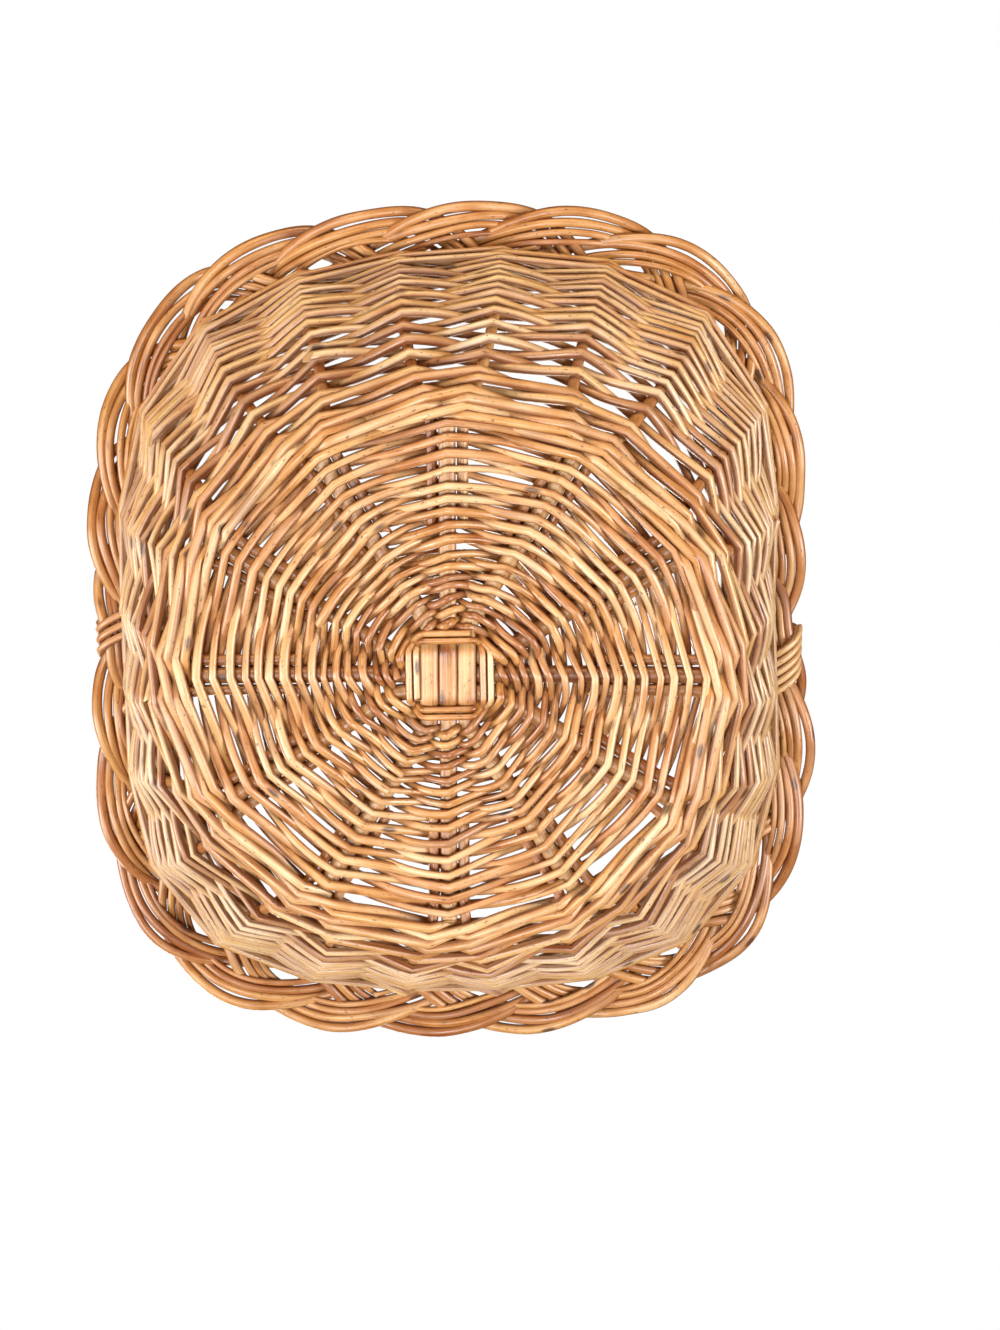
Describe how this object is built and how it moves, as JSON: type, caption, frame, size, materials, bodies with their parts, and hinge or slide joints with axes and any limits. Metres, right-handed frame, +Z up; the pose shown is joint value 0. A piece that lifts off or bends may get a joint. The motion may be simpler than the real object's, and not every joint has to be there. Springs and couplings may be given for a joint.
{
  "type": "gathering basket",
  "caption": "Shallow willow gathering basket with a round stick base, flared woven wall, plaited rounded-square border and a fixed roped bow handle.",
  "frame": {"origin": "centre of the foot on the surface that the basket stands on", "axes": "+Z up through the middle of the base, +Y along the long side of the rim, +X along the handle's span"},
  "size_m": [0.324, 0.3716, 0.285],
  "materials": {
    "willow_stick": "buff willow rod, peeled and dried, satin",
    "willow_stake": "buff willow rod, darker orange brown, satin",
    "willow_weaver": "thin buff willow rod, pale straw to honey, satin",
    "willow_border": "buff willow rods plaited in groups, satin",
    "willow_handle": "buff willow rods twisted round a bow, satin"
  },
  "bodies": {
    "root": {"base_stick_threaded_1": "willow_stick", "base_stick_threaded_2": "willow_stick", "base_stick_threaded_3": "willow_stick", "base_stick_split_1": "willow_stick", "base_stick_split_2": "willow_stick", "base_stick_split_3": "willow_stick", "base_tie_a": "willow_weaver", "base_tie_b": "willow_weaver", "base_weaver_inner_a": "willow_weaver", "base_weaver_inner_b": "willow_weaver", "base_weaver_outer_a": "willow_weaver", "base_weaver_outer_b": "willow_weaver", "stake_01": "willow_stake", "stake_02": "willow_stake", "stake_03": "willow_stake", "stake_04": "willow_stake", "stake_05": "willow_stake", "stake_06": "willow_stake", "stake_07": "willow_stake", "stake_08": "willow_stake", "stake_09": "willow_stake", "stake_10": "willow_stake", "stake_11": "willow_stake", "stake_12": "willow_stake", "stake_13": "willow_stake", "stake_14": "willow_stake", "stake_15": "willow_stake", "stake_16": "willow_stake", "stake_17": "willow_stake", "stake_18": "willow_stake", "stake_19": "willow_stake", "stake_20": "willow_stake", "stake_21": "willow_stake", "stake_22": "willow_stake", "stake_23": "willow_stake", "stake_24": "willow_stake", "upsett_rod_1": "willow_border", "upsett_rod_2": "willow_border", "upsett_rod_3": "willow_border", "siding_weaver_a": "willow_weaver", "siding_weaver_b": "willow_weaver", "top_wale_rod_1": "willow_weaver", "top_wale_rod_2": "willow_weaver", "top_wale_rod_3": "willow_weaver", "border_strand_1": "willow_border", "border_strand_2": "willow_border", "border_strand_3": "willow_border", "handle_bow": "willow_handle", "handle_roping_1": "willow_handle", "handle_roping_2": "willow_handle", "handle_roping_3": "willow_handle", "handle_roping_4": "willow_handle", "handle_lashing_left": "willow_handle", "handle_lashing_right": "willow_handle"}
  },
  "joints": []
}
